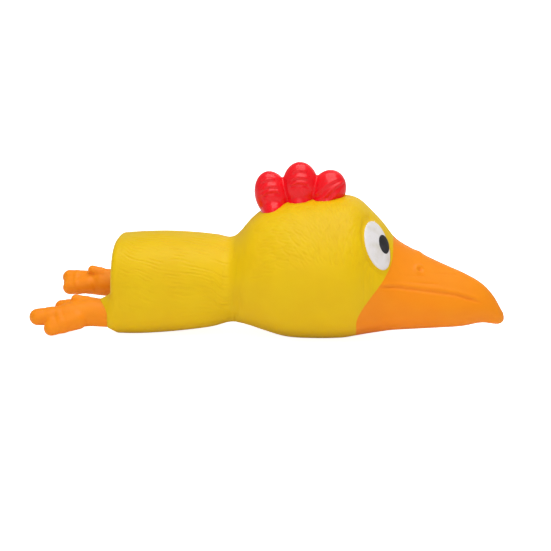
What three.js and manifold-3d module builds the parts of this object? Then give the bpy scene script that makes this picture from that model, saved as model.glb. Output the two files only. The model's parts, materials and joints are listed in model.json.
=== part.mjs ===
// Soft latex squeaky chicken, lying on its belly with the beak stretched forward.
// Millimetres. +X runs to the beak, +Y to the chicken's left, +Z up. The table is z = 0, and the
// origin is the middle of the flat patch under the head that the toy rests on.
import * as THREE from 'three';
import { mergeVertices } from 'three/addons/utils/BufferGeometryUtils.js';
import Module from 'manifold-3d';

const wasm = await Module();
wasm.setup();

// ---- Driving dimensions ----------------------------------------------------------------------
const TORSO_LENGTH = 46.8;      // rear face to the middle of the neck
const TORSO_HEIGHT = 41;
const TORSO_WIDTH = 43;
const TORSO_SQUARENESS = 0.84;  // power of the torso's rounded-box section, where 1 is an ellipse
const NECK_X = -27;             // middle of the neck crease, where the head bends
const NECK_TOP = 39.3;
const NECK_BOTTOM = 4.8;
const NECK_WIDTH = 37.6;
const SLEEVE_LENGTH = 18;       // thin bendy skin between torso and head
const HEAD_HEIGHT = 57.2;
const HEAD_WIDTH = 55;
const FOREHEAD_X = 17;          // highest point of the crown
const BEAK_ROOT_X = 37;         // front of the face, where the upper beak starts
const BEAK_LENGTH = 43.5;
const BEAK_ROOT_TOP = 40.9;
const BEAK_ROOT_WIDTH = 33;
const BEAK_TIP_Z = 12;
const CHEEK_X = 23.1;           // furthest back that the orange runs, at the cheek
const BROW_X = 36.5;            // furthest forward that the yellow runs, between the eyes
const BORDER_LOW_Z = 9.5;       // the colour border leans forward between these two heights
const BORDER_HIGH_Z = 36;

const WALL = 2.2;               // latex skin
const GAP = 0.35;               // clearance between neighbouring pieces
const REST_DEPTH = 0.4;         // how far the round belly is pressed flat on the table
const REAR_EDGE = 2.4;          // rounding of the rear face

const PANEL_LENGTH = 23;        // soft spot on the back that is pressed in to squeak
const PANEL_WIDTH = 27;
const PANEL_MARGIN = 4;         // skin between the soft spot and the neck sleeve

const LEG_SPREAD = 13.5;        // each ankle's distance from the middle plane
const ANKLE_RADIUS = 5.6;
const ANKLE_CLEARANCE = 2.9;    // ankle ball behind the rear face
const LEG_FLARE = 0.6;          // how much wider the leg's root is than its ankle
const RIGHT_ANKLE_Z = 9.4;
const LEFT_ANKLE_Z = 15.6;

const COMB_THICKNESS = 10;
const COMB_CLEARANCE = 1;       // room under the comb's foot, so that it can bend sideways
const EYE_X = 30.3;
const EYE_Z = 40;
const EYE_WIDTH = 8.2;          // seen square from the side
const EYE_HEIGHT = 19.4;
const EYE_TILT = 0.39;          // top of the eye leans back, radians
const EYE_PLATE = 1.1;          // thickness of the raised white of the eye
const PUPIL_X = 32.8;
const PUPIL_Z = 40.4;
const PUPIL_WIDTH = 3.3;
const PUPIL_HEIGHT = 7.6;
const PUPIL_PLATE = 0.7;

const SQUEAKER_Z = 24.5;
const SQUEAKER_RADIUS = 7;
const SQUEAKER_DEPTH = 8.6;
const SQUEAKER_WALL = 1.2;
const SQUEAKER_FLANGE = 1.6;    // how far the flange stands past the body all round
const SOUND_HOLE_RADIUS = 1.5;
const REED_LENGTH = 6.4;
const REED_WIDTH = 2.8;
const REED_THICKNESS = 0.35;
const STUFFING_CLEARANCE = 1.2;

const RING_POINTS = 32;
const FAR = 300;                // beyond any piece, for the solids that cut

// ---- Places worked out from those sizes ------------------------------------------------------
const REAR_X = NECK_X - TORSO_LENGTH;
const TORSO_END_X = NECK_X - SLEEVE_LENGTH / 2;
const HEAD_START_X = NECK_X + SLEEVE_LENGTH / 2;
const BEAK_TIP_X = BEAK_ROOT_X + BEAK_LENGTH;
const ANKLE_X = REAR_X - ANKLE_CLEARANCE - ANKLE_RADIUS;
const PANEL_X = TORSO_END_X - PANEL_MARGIN - PANEL_LENGTH / 2;
const TORSO_HALF = TORSO_WIDTH / 2;
const NECK_HALF = NECK_WIDTH / 2;
const HEAD_HALF = HEAD_WIDTH / 2;
const BEAK_HALF = BEAK_ROOT_WIDTH / 2;

// ---- Outer shape: the cross-section's sizes along X ---------------------------------------------
// The pinch narrows the upper half of a section, so that the beak gets its ridge.
const alongTorso = (share) => REAR_X + share * TORSO_LENGTH;
const alongHead = (share) => NECK_X + share * (BEAK_ROOT_X - NECK_X);
const alongBeak = (share) => BEAK_ROOT_X + share * BEAK_LENGTH;
const beakTop = (share) => BEAK_TIP_Z + share * (BEAK_ROOT_TOP - BEAK_TIP_Z);
const headTop = (share) => NECK_TOP + share * (HEAD_HEIGHT - NECK_TOP);
const headHalf = (share) => NECK_HALF + share * (HEAD_HALF - NECK_HALF);
const FOREHEAD_SHARE = (FOREHEAD_X - NECK_X) / (BEAK_ROOT_X - NECK_X);

const STATIONS = [
  // x, top, bottom, half width, pinch, squareness
  [alongTorso(0), TORSO_HEIGHT - 3.4, -REST_DEPTH, TORSO_HALF - 1, 0, TORSO_SQUARENESS],
  [alongTorso(0.2), TORSO_HEIGHT - 1.8, -REST_DEPTH, TORSO_HALF, 0, TORSO_SQUARENESS],
  [alongTorso(0.42), TORSO_HEIGHT, 0.2, TORSO_HALF, 0, TORSO_SQUARENESS],
  [alongTorso(0.65), TORSO_HEIGHT - 0.5, 1.6, TORSO_HALF - 0.9, 0, TORSO_SQUARENESS],
  [alongTorso(0.85), NECK_TOP + 0.3, 3, NECK_HALF + 0.6, 0, (1 + TORSO_SQUARENESS) / 2],
  [alongHead(0), NECK_TOP, NECK_BOTTOM, NECK_HALF, 0, 1],
  [alongHead(0.11), headTop(0.44), 3.8, headHalf(0.46), 0.02, 1],
  [alongHead(0.19), headTop(0.66), 2.3, headHalf(0.66), 0.04, 1],
  [alongHead(0.34), headTop(0.86), -REST_DEPTH / 4, headHalf(0.91), 0.06, 1],
  [alongHead(0.5), headTop(0.94), -REST_DEPTH, HEAD_HALF, 0.08, 1],
  [alongHead(FOREHEAD_SHARE), HEAD_HEIGHT, 0.2, headHalf(0.9), 0.1, 1],
  [alongHead(0.77), headTop(0.93), 1.2, headHalf(0.74), 0.12, 1],
  [alongHead(0.85), headTop(0.69), 2.1, BEAK_HALF + 5, 0.15, 1],
  [alongHead(0.93), headTop(0.4), 3, BEAK_HALF + 1.8, 0.2, 1],
  [alongBeak(0), BEAK_ROOT_TOP, 3.9, BEAK_HALF, 0.28, 1],
  [alongBeak(0.17), beakTop(0.85), 4.7, BEAK_HALF * 0.89, 0.36, 1],
  [alongBeak(0.4), beakTop(0.69), 5.5, BEAK_HALF * 0.75, 0.38, 1],
  [alongBeak(0.64), beakTop(0.54), 6.2, BEAK_HALF * 0.58, 0.36, 1],
  [alongBeak(0.82), beakTop(0.39), 7.5, BEAK_HALF * 0.41, 0.3, 1],
  [alongBeak(0.93), beakTop(0.24), 7.3, BEAK_HALF * 0.27, 0.2, 1],
  [alongBeak(1), beakTop(0.04), 9.2, BEAK_HALF * 0.08, 0, 1],
];
const stationX = STATIONS.map((station) => station[0]);
const lineThrough = (column) =>
  new THREE.CubicInterpolant(stationX, STATIONS.map((station) => station[column]), 1);
const topLine = lineThrough(1);
const bottomLine = lineThrough(2);
const halfLine = lineThrough(3);
const pinchLine = lineThrough(4);
const squareLine = lineThrough(5);
const rounded = (value, power) => Math.sign(value) * Math.abs(value) ** power;

// A point of the body's surface. A positive inset lies inside it, a negative one outside.
function surfacePoint(x, angle, inset) {
  const at = THREE.MathUtils.clamp(x, REAR_X, BEAK_TIP_X);
  const top = topLine.evaluate(at)[0] - inset;
  const bottom = bottomLine.evaluate(at)[0] + inset;
  const half = Math.max(halfLine.evaluate(at)[0] - inset, 0.3);
  const power = squareLine.evaluate(at)[0];
  const up = rounded(Math.sin(angle), power);
  const out = rounded(Math.cos(angle), power) * (1 - pinchLine.evaluate(at)[0] * up);
  const rise = Math.max((top - bottom) / 2, 0.3);
  return new THREE.Vector3(x, half * out, (top + bottom) / 2 + rise * up);
}

// A ring round the body. placeX says how far forward the ring is at each height.
function ring(placeX, inset) {
  const points = [];
  for (let i = 0; i < RING_POINTS; i += 1) {
    const angle = (2 * Math.PI * i) / RING_POINTS;
    let point = surfacePoint(placeX(HEAD_HEIGHT / 2), angle, inset);
    for (let pass = 0; pass < 6; pass += 1) {
      point = surfacePoint(placeX(point.z), angle, inset);
    }
    points.push(point);
  }
  return points;
}

const straight = (x) => () => x;
const borderX = (z) =>
  CHEEK_X + (BROW_X - CHEEK_X) * THREE.MathUtils.smoothstep(z, BORDER_LOW_Z, BORDER_HIGH_Z);
const between = (from, to, share) => (z) => THREE.MathUtils.lerp(from(z), to(z), share);
const forward = (line, distance) => (z) => line(z) + distance;

// Rings from one line to another. The easing spreads them along the way.
function rings(from, to, count, inset, easing = (share) => share) {
  const found = [];
  for (let i = 0; i <= count; i += 1) {
    found.push(ring(between(from, to, easing(i / count)), inset));
  }
  return found;
}

// ---- Meshes and booleans ----------------------------------------------------------------------
function solidFromRings(ringList, loop) {
  const count = ringList[0].length;
  const positions = ringList.flat().flatMap((point) => [point.x, point.y, point.z]);
  const faces = [];
  const steps = loop ? ringList.length : ringList.length - 1;
  for (let r = 0; r < steps; r += 1) {
    const here = r * count;
    const next = ((r + 1) % ringList.length) * count;
    for (let i = 0; i < count; i += 1) {
      const j = (i + 1) % count;
      faces.push(here + i, here + j, next + j, here + i, next + j, next + i);
    }
  }
  const cap = (first, flip) => {
    const centre = new THREE.Vector3();
    for (let i = 0; i < count; i += 1) {
      centre.add(ringList[first][i]);
    }
    centre.divideScalar(count);
    const hub = positions.length / 3;
    positions.push(centre.x, centre.y, centre.z);
    for (let i = 0; i < count; i += 1) {
      const a = first * count + i;
      const b = first * count + ((i + 1) % count);
      faces.push(...(flip ? [hub, a, b] : [hub, b, a]));
    }
  };
  if (!loop) {
    cap(0, false);
    cap(ringList.length - 1, true);
  }
  return toSolid(positions, faces);
}

function toSolid(positions, faces) {
  let volume = 0;
  const corner = (index) => new THREE.Vector3().fromArray(positions, 3 * index);
  for (let f = 0; f < faces.length; f += 3) {
    volume += corner(faces[f]).dot(corner(faces[f + 1]).cross(corner(faces[f + 2])));
  }
  if (volume < 0) {
    faces.reverse();
  }
  const mesh = new wasm.Mesh({
    numProp: 3,
    vertProperties: new Float32Array(positions),
    triVerts: new Uint32Array(faces),
  });
  return new wasm.Manifold(mesh);
}

function solidFromGeometry(geometry, matrix = new THREE.Matrix4()) {
  const plain = geometry.clone().applyMatrix4(matrix);
  plain.deleteAttribute('normal');
  plain.deleteAttribute('uv');
  const merged = mergeVertices(plain, 1e-5);
  return toSolid(Array.from(merged.attributes.position.array), Array.from(merged.index.array));
}

function place(x, y, z, quaternion = new THREE.Quaternion(), scale = new THREE.Vector3(1, 1, 1)) {
  return new THREE.Matrix4().compose(new THREE.Vector3(x, y, z), quaternion, scale);
}

const turnAbout = (x, y, z, angle) =>
  new THREE.Quaternion().setFromAxisAngle(new THREE.Vector3(x, y, z), angle);
const joinAll = (solids) => solids.reduce((whole, next) => whole.add(next));

function box(low, high) {
  const size = new THREE.Vector3().subVectors(high, low);
  const middle = new THREE.Vector3().addVectors(low, high).divideScalar(2);
  return solidFromGeometry(
    new THREE.BoxGeometry(size.x, size.y, size.z), place(middle.x, middle.y, middle.z));
}

function ellipsoid(centre, radii, quaternion, rows = 10) {
  const globe = new THREE.SphereGeometry(1, 2 * rows, rows);
  return solidFromGeometry(globe, place(centre.x, centre.y, centre.z, quaternion, radii));
}

// A round rod with ball ends that tapers from one radius to the other.
function taperedRod(from, to, fromRadius, toRadius) {
  const along = new THREE.Vector3().subVectors(to, from);
  const length = along.length();
  const profile = [];
  const turns = 5;
  for (let i = 0; i <= turns; i += 1) {
    const angle = (Math.PI / 2) * (i / turns - 1);
    const radius = i === 0 ? 0 : fromRadius * Math.cos(angle);
    profile.push(new THREE.Vector2(radius, fromRadius * Math.sin(angle)));
  }
  for (let i = 0; i <= turns; i += 1) {
    const angle = (Math.PI / 2) * (i / turns);
    const radius = i === turns ? 0 : toRadius * Math.cos(angle);
    profile.push(new THREE.Vector2(radius, length + toRadius * Math.sin(angle)));
  }
  const turn = new THREE.Quaternion().setFromUnitVectors(
    new THREE.Vector3(0, 1, 0), along.normalize());
  return solidFromGeometry(new THREE.LatheGeometry(profile, 12), place(from.x, from.y, from.z, turn));
}

// A piece turned about the squeaker's axis. Each profile point is radius, distance in from the rear.
function turned(profile, segments = 32) {
  const outline = profile.map(([radius, depth]) => new THREE.Vector2(radius, depth));
  const alongX = turnAbout(0, 0, 1, -Math.PI / 2);
  return solidFromGeometry(
    new THREE.LatheGeometry(outline, segments), place(REAR_X, 0, SQUEAKER_Z, alongX));
}

const TABLE = box(new THREE.Vector3(-FAR, -FAR, -FAR), new THREE.Vector3(FAR, FAR, 0));

// ---- Skin ----------------------------------------------------------------------------------
// The rear face's edge is rounded: the last rings shrink as a quarter circle.
function rearRings(inset) {
  const found = [];
  const steps = 4;
  for (let i = 0; i <= steps; i += 1) {
    const angle = (Math.PI / 2) * (i / steps);
    const depth = REAR_EDGE * (1 - Math.sin(angle));
    const shrink = REAR_EDGE * (1 - Math.cos(angle));
    found.push(ring(straight(REAR_X + inset + depth), inset + shrink));
  }
  return found.reverse();
}

function makeTorsoShell() {
  const front = straight(TORSO_END_X);
  const outer = rings(straight(REAR_X + REAR_EDGE + 4), front, 6, 0);
  const inner = rings(straight(REAR_X + REAR_EDGE + 4), front, 4, WALL);
  return solidFromRings([...rearRings(0), ...outer, ...inner.reverse(), ...rearRings(WALL).reverse()]);
}

// Upright oval prism that frees the soft spot on the back.
function panelPrism(clearance) {
  const height = 2 * TORSO_HEIGHT;
  const prism = new THREE.CylinderGeometry(1, 1, height, 36);
  const radii = new THREE.Vector3(PANEL_LENGTH / 2 - clearance, 1, PANEL_WIDTH / 2 - clearance);
  const base = TORSO_HEIGHT / 2;
  const upright = turnAbout(1, 0, 0, Math.PI / 2);
  return solidFromGeometry(prism, place(PANEL_X, 0, base + height / 2, upright, radii));
}

function makeLegStub(side, ankleZ) {
  const root = new THREE.Vector3(REAR_X + 1, side * (LEG_SPREAD - 0.5), ankleZ + LEG_FLARE);
  const end = new THREE.Vector3(ANKLE_X, side * LEG_SPREAD, ankleZ);
  const rod = taperedRod(root, end, ANKLE_RADIUS + LEG_FLARE, ANKLE_RADIUS + LEG_FLARE / 3);
  const ankleCut = ANKLE_X + ANKLE_RADIUS + GAP;
  return rod.subtract(box(
    new THREE.Vector3(-FAR, -FAR, -FAR), new THREE.Vector3(ankleCut, FAR, FAR)));
}

function makeTorso() {
  const seat = turned([
    [0, -FAR], [SQUEAKER_RADIUS + GAP, -FAR], [SQUEAKER_RADIUS + GAP, WALL + 3], [0, WALL + 3],
  ]);
  const shell = makeTorsoShell();
  const legs = joinAll([makeLegStub(-1, RIGHT_ANKLE_Z), makeLegStub(1, LEFT_ANKLE_Z)]);
  return shell.add(legs).subtract(panelPrism(0)).subtract(seat).subtract(TABLE);
}

const makeBackPanel = () => makeTorsoShell().intersect(panelPrism(GAP));

function makeNeckSleeve() {
  const from = straight(TORSO_END_X + GAP);
  const to = straight(HEAD_START_X - GAP);
  return solidFromRings([...rings(from, to, 4, 0), ...rings(from, to, 4, WALL).reverse()], true);
}

function makeHead() {
  const outer = rings(straight(HEAD_START_X), borderX, 10, 0);
  const inner = rings(straight(HEAD_START_X), borderX, 6, WALL);
  return solidFromRings([...outer, ...inner.reverse()], true).subtract(TABLE);
}

const crowdTip = (share) => 1 - (1 - share) ** 1.7;

function makeBeak() {
  const root = forward(borderX, GAP);
  const outer = rings(root, straight(BEAK_TIP_X), 9, 0, crowdTip);
  const inner = rings(root, straight(BEAK_TIP_X - 4 * WALL), 6, WALL);
  return solidFromRings([...outer.reverse(), ...inner]);
}

// The whole head as one solid, grown or shrunk, to seat the comb and eyes on.
function headForm(growth) {
  const ends = rings(straight(HEAD_START_X - 3), straight(BEAK_TIP_X - 6), 26, -growth);
  return solidFromRings(ends);
}

// ---- Comb, eyes and feet ----------------------------------------------------------------------
// Each lobe: centre x, height of its centre over the crown line, half length, half height, lean.
const COMB_LOBES = [
  { x: -12.4, lift: 4.1, length: 7, height: 9.7, lean: -0.3 },
  { x: -1.2, lift: 5.1, length: 7.2, height: 9.6, lean: -0.05 },
  { x: 9.8, lift: 2.2, length: 6.9, height: 8.4, lean: 0.2 },
];
const COMB_FOOT = { fromX: -11.6, toX: 9.6, lift: 1.2, radius: 3.2 };

function makeComb() {
  const lobes = COMB_LOBES.map(({ x, lift, length, height, lean }) => {
    const crown = topLine.evaluate(x)[0];
    const radii = new THREE.Vector3(length, COMB_THICKNESS / 2, height);
    return ellipsoid(new THREE.Vector3(x, 0, crown + lift), radii, turnAbout(0, 1, 0, lean));
  });
  const footPoint = (x) => new THREE.Vector3(x, 0, topLine.evaluate(x)[0] + COMB_FOOT.lift);
  const { fromX, toX, radius } = COMB_FOOT;
  const foot = taperedRod(footPoint(fromX), footPoint(toX), radius, radius);
  return joinAll([...lobes, foot]).subtract(headForm(COMB_CLEARANCE));
}

// A plate on the side of the head: the layer between two grown heads, cut to an oval seen from Y.
function plateOnHead(side, x, z, width, height, low, high) {
  const depth = HEAD_WIDTH;
  const prism = new THREE.CylinderGeometry(1, 1, depth, 28);
  const lean = turnAbout(0, 1, 0, -EYE_TILT);
  const radii = new THREE.Vector3(width / 2, 1, height / 2);
  const oval = solidFromGeometry(prism, place(x, (side * depth) / 2, z, lean, radii));
  return headForm(high).subtract(headForm(low)).intersect(oval);
}

const makeEyeWhite = (side) =>
  plateOnHead(side, EYE_X, EYE_Z, EYE_WIDTH, EYE_HEIGHT, GAP, GAP + EYE_PLATE);

function makePupil(side) {
  const low = 2 * GAP + EYE_PLATE;
  return plateOnHead(side, PUPIL_X, PUPIL_Z, PUPIL_WIDTH, PUPIL_HEIGHT, low, low + PUPIL_PLATE);
}

// Toes start and end at distances from the ankle: back, outward and up, then the two radii.
const RIGHT_TOES = [
  { from: [0, 0, 0], to: [-9, 1.5, -1.3], radii: [ANKLE_RADIUS, 5] },
  { from: [-5, 3.4, -2], to: [-14.8, 6.9, -5.5], radii: [4.4, 3.1] },
  { from: [-8, 2, -1], to: [-21, 3.6, -1.6], radii: [4.2, 3] },
  { from: [-6, -2, 1.2], to: [-12.8, -3.4, 1], radii: [3.7, 2.8] },
  { from: [-1, -1, 2], to: [-6.6, -1.8, 4.6], radii: [3.3, 2] },
];
const LEFT_TOES = [
  { from: [0, 0, 0], to: [-7, 0.6, -0.6], radii: [ANKLE_RADIUS, 4.6] },
  { from: [-6, 3, -1.4], to: [-12.2, 5, -1.6], radii: [3.9, 3.1] },
  { from: [-7, 1, 0.4], to: [-13.8, 1.6, 1.3], radii: [4.1, 3.1] },
  { from: [-5, -2.2, -0.6], to: [-13, -2.8, -2], radii: [3.8, 3] },
  { from: [0, -1, 2.2], to: [-4, -1.8, 5.2], radii: [3.2, 2] },
];

function makeFoot(side, ankleZ, toes) {
  const at = ([back, out, up]) =>
    new THREE.Vector3(ANKLE_X + back, side * (LEG_SPREAD + out), ankleZ + up);
  const parts = toes.map(({ from, to, radii }) => taperedRod(at(from), at(to), radii[0], radii[1]));
  return joinAll(parts).subtract(TABLE);
}

// ---- Stuffing ------------------------------------------------------------------------------
const STUFFING_INSET = WALL + STUFFING_CLEARANCE;

function makeHeadStuffing() {
  const from = straight(HEAD_START_X + 2);
  const to = straight(BEAK_ROOT_X + BEAK_LENGTH / 2);
  return solidFromRings(rings(from, to, 9, STUFFING_INSET));
}

function makeTorsoStuffing() {
  const from = straight(REAR_X + SQUEAKER_DEPTH + STUFFING_CLEARANCE);
  return solidFromRings(rings(from, straight(TORSO_END_X - STUFFING_CLEARANCE), 5, STUFFING_INSET));
}

// ---- Squeaker in the rear face ----------------------------------------------------------------
const BORE = SQUEAKER_RADIUS - SQUEAKER_WALL;
const PLUG_RADIUS = BORE - GAP;
const FLANGE_THICKNESS = 1.1;
const BLOCK_DEPTH = FLANGE_THICKNESS + 1.4;
const BLOCK_THICKNESS = 1.8;
const REED_DEPTH = BLOCK_DEPTH + BLOCK_THICKNESS + GAP;
const CLAMP_THICKNESS = 0.9;
const CLAMP_WIDTH = 2;
const CAP_THICKNESS = 1;

function makeSqueakerHousing() {
  const out = -GAP - FLANGE_THICKNESS;
  const floor = out + SQUEAKER_WALL + 0.4;
  return turned([
    [SOUND_HOLE_RADIUS, out], [SQUEAKER_RADIUS + SQUEAKER_FLANGE - 0.4, out],
    [SQUEAKER_RADIUS + SQUEAKER_FLANGE, out + 0.4], [SQUEAKER_RADIUS + SQUEAKER_FLANGE, -GAP],
    [SQUEAKER_RADIUS, -GAP], [SQUEAKER_RADIUS, SQUEAKER_DEPTH], [BORE, SQUEAKER_DEPTH],
    [BORE, floor], [SOUND_HOLE_RADIUS, floor], [SOUND_HOLE_RADIUS, out],
  ]);
}

// A disc in the housing's bore, from one depth to another.
const plug = (from, to) => turned([[0, from], [PLUG_RADIUS, from], [PLUG_RADIUS, to], [0, to]]);

// A bar in the squeaker. Its place is measured from the squeaker's axis at the rear face.
function bar(depth, length, width, height, middleZ) {
  const low = new THREE.Vector3(REAR_X + depth, -width / 2, SQUEAKER_Z + middleZ - height / 2);
  return box(low, low.clone().add(new THREE.Vector3(length, width, height)));
}

const REED_ROOT_Z = -REED_LENGTH / 2;

function makeReedBlock() {
  const window = bar(
    BLOCK_DEPTH - 1, BLOCK_THICKNESS + 2, REED_WIDTH + 2 * GAP, REED_LENGTH - CLAMP_WIDTH,
    CLAMP_WIDTH / 2 + GAP);
  return plug(BLOCK_DEPTH, BLOCK_DEPTH + BLOCK_THICKNESS).subtract(window);
}

const makeReed = () => bar(REED_DEPTH, REED_THICKNESS, REED_WIDTH, REED_LENGTH, 0);

function makeReedClamp() {
  const depth = REED_DEPTH + REED_THICKNESS + GAP;
  return bar(depth, CLAMP_THICKNESS, REED_WIDTH + 1.2, CLAMP_WIDTH, REED_ROOT_Z + CLAMP_WIDTH / 2);
}

function makeSqueakerCap() {
  const disc = plug(SQUEAKER_DEPTH - CAP_THICKNESS - 0.3, SQUEAKER_DEPTH - 0.3);
  const holes = [0, 1, 2, 3].map((step) => {
    const angle = (step * Math.PI) / 2 + Math.PI / 4;
    const pin = new THREE.CylinderGeometry(0.9, 0.9, 6, 14);
    const y = (PLUG_RADIUS / 2) * Math.cos(angle);
    const z = SQUEAKER_Z + (PLUG_RADIUS / 2) * Math.sin(angle);
    return solidFromGeometry(
      pin, place(REAR_X + SQUEAKER_DEPTH, y, z, turnAbout(0, 0, 1, Math.PI / 2)));
  });
  return disc.subtract(joinAll(holes));
}

// ---- The object --------------------------------------------------------------------------------
const chicken = new THREE.Group();

function addPiece(name, solid, color, roughness, metalness = 0) {
  const { vertProperties, triVerts } = solid.getMesh();
  const geometry = new THREE.BufferGeometry();
  geometry.setAttribute('position', new THREE.BufferAttribute(new Float32Array(vertProperties), 3));
  geometry.setIndex(new THREE.BufferAttribute(new Uint32Array(triVerts), 1));
  geometry.computeVertexNormals();
  const mesh = new THREE.Mesh(
    geometry, new THREE.MeshStandardMaterial({ color, roughness, metalness }));
  mesh.name = name;
  chicken.add(mesh);
}

addPiece('torso_skin', makeTorso(), '#e3b915', 0.55);
addPiece('back_panel', makeBackPanel(), '#ebc42e', 0.55);
addPiece('neck_sleeve', makeNeckSleeve(), '#dfb410', 0.55);
addPiece('head_skin', makeHead(), '#e7c124', 0.52);
addPiece('beak_skin', makeBeak(), '#f4932a', 0.42);
addPiece('comb', makeComb(), '#e72933', 0.3);
addPiece('eye_white_right', makeEyeWhite(-1), '#e2dee2', 0.4);
addPiece('eye_white_left', makeEyeWhite(1), '#e2dee2', 0.4);
addPiece('pupil_right', makePupil(-1), '#383538', 0.35);
addPiece('pupil_left', makePupil(1), '#383538', 0.35);
addPiece('foot_right', makeFoot(-1, RIGHT_ANKLE_Z, RIGHT_TOES), '#ef8b29', 0.42);
addPiece('foot_left', makeFoot(1, LEFT_ANKLE_Z, LEFT_TOES), '#f4943a', 0.42);
addPiece('head_stuffing', makeHeadStuffing(), '#f2f0ea', 0.95);
addPiece('torso_stuffing', makeTorsoStuffing(), '#efede6', 0.95);
addPiece('squeaker_housing', makeSqueakerHousing(), '#f4f3ef', 0.4);
addPiece('squeaker_cap', makeSqueakerCap(), '#ecebe6', 0.45);
addPiece('reed_block', makeReedBlock(), '#e9e7e1', 0.45);
addPiece('reed', makeReed(), '#c9a24a', 0.3, 0.9);
addPiece('reed_clamp', makeReedClamp(), '#dddad2', 0.45);

export default chicken;
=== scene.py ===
"""The finished look of a soft latex squeaky chicken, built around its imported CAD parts."""

import json
import math

import bmesh
import bpy
import numpy as np
from mathutils import Matrix, Vector
from mathutils.bvhtree import BVHTree


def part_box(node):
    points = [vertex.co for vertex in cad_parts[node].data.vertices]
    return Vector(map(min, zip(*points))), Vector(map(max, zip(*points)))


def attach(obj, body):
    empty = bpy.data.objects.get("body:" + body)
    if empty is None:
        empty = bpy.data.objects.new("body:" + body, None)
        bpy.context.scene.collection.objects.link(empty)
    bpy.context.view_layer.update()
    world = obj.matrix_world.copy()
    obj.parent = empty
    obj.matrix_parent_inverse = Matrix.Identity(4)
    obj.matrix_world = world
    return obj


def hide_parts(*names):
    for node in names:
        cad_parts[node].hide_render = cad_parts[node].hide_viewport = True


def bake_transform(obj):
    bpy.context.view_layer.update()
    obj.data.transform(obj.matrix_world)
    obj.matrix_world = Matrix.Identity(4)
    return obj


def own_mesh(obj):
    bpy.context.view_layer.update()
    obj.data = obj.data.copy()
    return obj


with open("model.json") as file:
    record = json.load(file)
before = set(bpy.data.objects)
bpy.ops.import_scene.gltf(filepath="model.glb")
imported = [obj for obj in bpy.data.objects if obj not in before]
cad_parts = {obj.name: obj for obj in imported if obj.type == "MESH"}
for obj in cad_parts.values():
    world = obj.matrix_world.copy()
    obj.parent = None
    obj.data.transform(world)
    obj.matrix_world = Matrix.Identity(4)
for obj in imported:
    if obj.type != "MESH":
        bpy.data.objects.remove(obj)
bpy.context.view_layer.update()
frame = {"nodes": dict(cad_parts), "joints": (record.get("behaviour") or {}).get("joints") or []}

bl_info = {
    "name": "Latex squeaky chicken",
    "version": (1, 0, 0),
    "blender": (4, 5, 0),
    "location": "3D View > Sidebar > Chicken",
    "description": "Makes the moulded and painted latex skin, comb, eyes, feet, filling and squeaker",
    "category": "Object",
}

MM = 0.001
JOINTS = {joint["name"]: joint for joint in frame["joints"]}


def box_mm(node):
    """Lowest and highest corners of a CAD node, in millimetres."""
    low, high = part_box(node)
    return np.array(low) / MM, np.array(high) / MM


def joint_mm(name):
    """Where a joint stands, in millimetres."""
    return np.array(JOINTS[name]["pos_m"]) / MM


# ---- Sizes in millimetres, read from the frame ----------------------------------------------
SQUEAKER_LOW, SQUEAKER_HIGH = box_mm("squeaker_housing")
FLANGE_STAND = 1.45  # how far the squeaker's flange stands behind the rear face
REAR_X = SQUEAKER_LOW[0] + FLANGE_STAND
SQUEAKER_Z = (SQUEAKER_LOW[2] + SQUEAKER_HIGH[2]) / 2
SQUEAKER_FLANGE_RADIUS = (SQUEAKER_HIGH[2] - SQUEAKER_LOW[2]) / 2
SQUEAKER_SEAT_RADIUS = SQUEAKER_FLANGE_RADIUS - 1.25
NECK_X = joint_mm("neck_turn")[0]
BEAK_TIP_X = box_mm("beak_skin")[1][0]
HEAD_HEIGHT = box_mm("head_skin")[1][2]
HEAD_HALF = box_mm("head_skin")[1][1]
TORSO_HALF = box_mm("torso_skin")[1][1]
TORSO_HEIGHT = box_mm("back_panel")[1][2] - 0.9  # the finished back sits this much lower
REST_DEPTH = 0.4
NECK_TOP = 39.3
NECK_BOTTOM = 4.8
NECK_HALF = 18.8
BEAK_ROOT_X = 37.0
BEAK_ROOT_TOP = 40.9
BEAK_HALF = 16.5
BEAK_TIP_Z = 12.0
FOREHEAD_X = 17.0
TORSO_SQUARENESS = 0.84
REAR_EDGE = 2.4
CHEEK_X = 23.1
BROW_X = 36.5
BORDER_LOW_Z = 9.5
BORDER_HIGH_Z = 36.0
TIP_ROUNDING = 2.0
NOSE_REACH = 1.0
NOSE_Z = 9.6
EYE_X = 30.3
EYE_Z = 40.0
EYE_HALF_WIDTH = 4.1
EYE_HALF_HEIGHT = 9.7
EYE_LEAN = 0.39
PUPIL_X = 32.8
PUPIL_Z = 40.4
PUPIL_HALF_WIDTH = 1.65
PUPIL_HALF_HEIGHT = 3.8
LEG_RADIUS = 5.8
LEG_FLARE = 10.0
SKIN_ROUND = 420
SEAT_RINGS = 8
SEAT_DEPTH = 3.0
FACE_RINGS = 54
HEAD_FILLING_START_X = -8.0
FILLING_DEPTH = 4.6  # from the skin's outside to the fibre

# Where the skin is divided into pieces.
SPOT_X = -55.0
SPOT_REACH = 14.5
REAR_SPLIT_X = SPOT_X - SPOT_REACH - 0.5
NECK_START_X = SPOT_X + SPOT_REACH
NECK_END_X = -25.0
NAPE_END_X = -4.0


def lerp(low, high, share):
    """The value that lies a share of the way from low to high."""
    return low + (high - low) * share


def smoothstep(value, low, high):
    """0 below low, 1 above high and an S curve between."""
    share = np.clip((value - low) / (high - low), 0, 1)
    return share * share * (3 - 2 * share)


def hill(distance, width):
    """1 at distance 0, and a bell curve of that width around it."""
    return np.exp(-((distance / width) ** 2))


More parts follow.
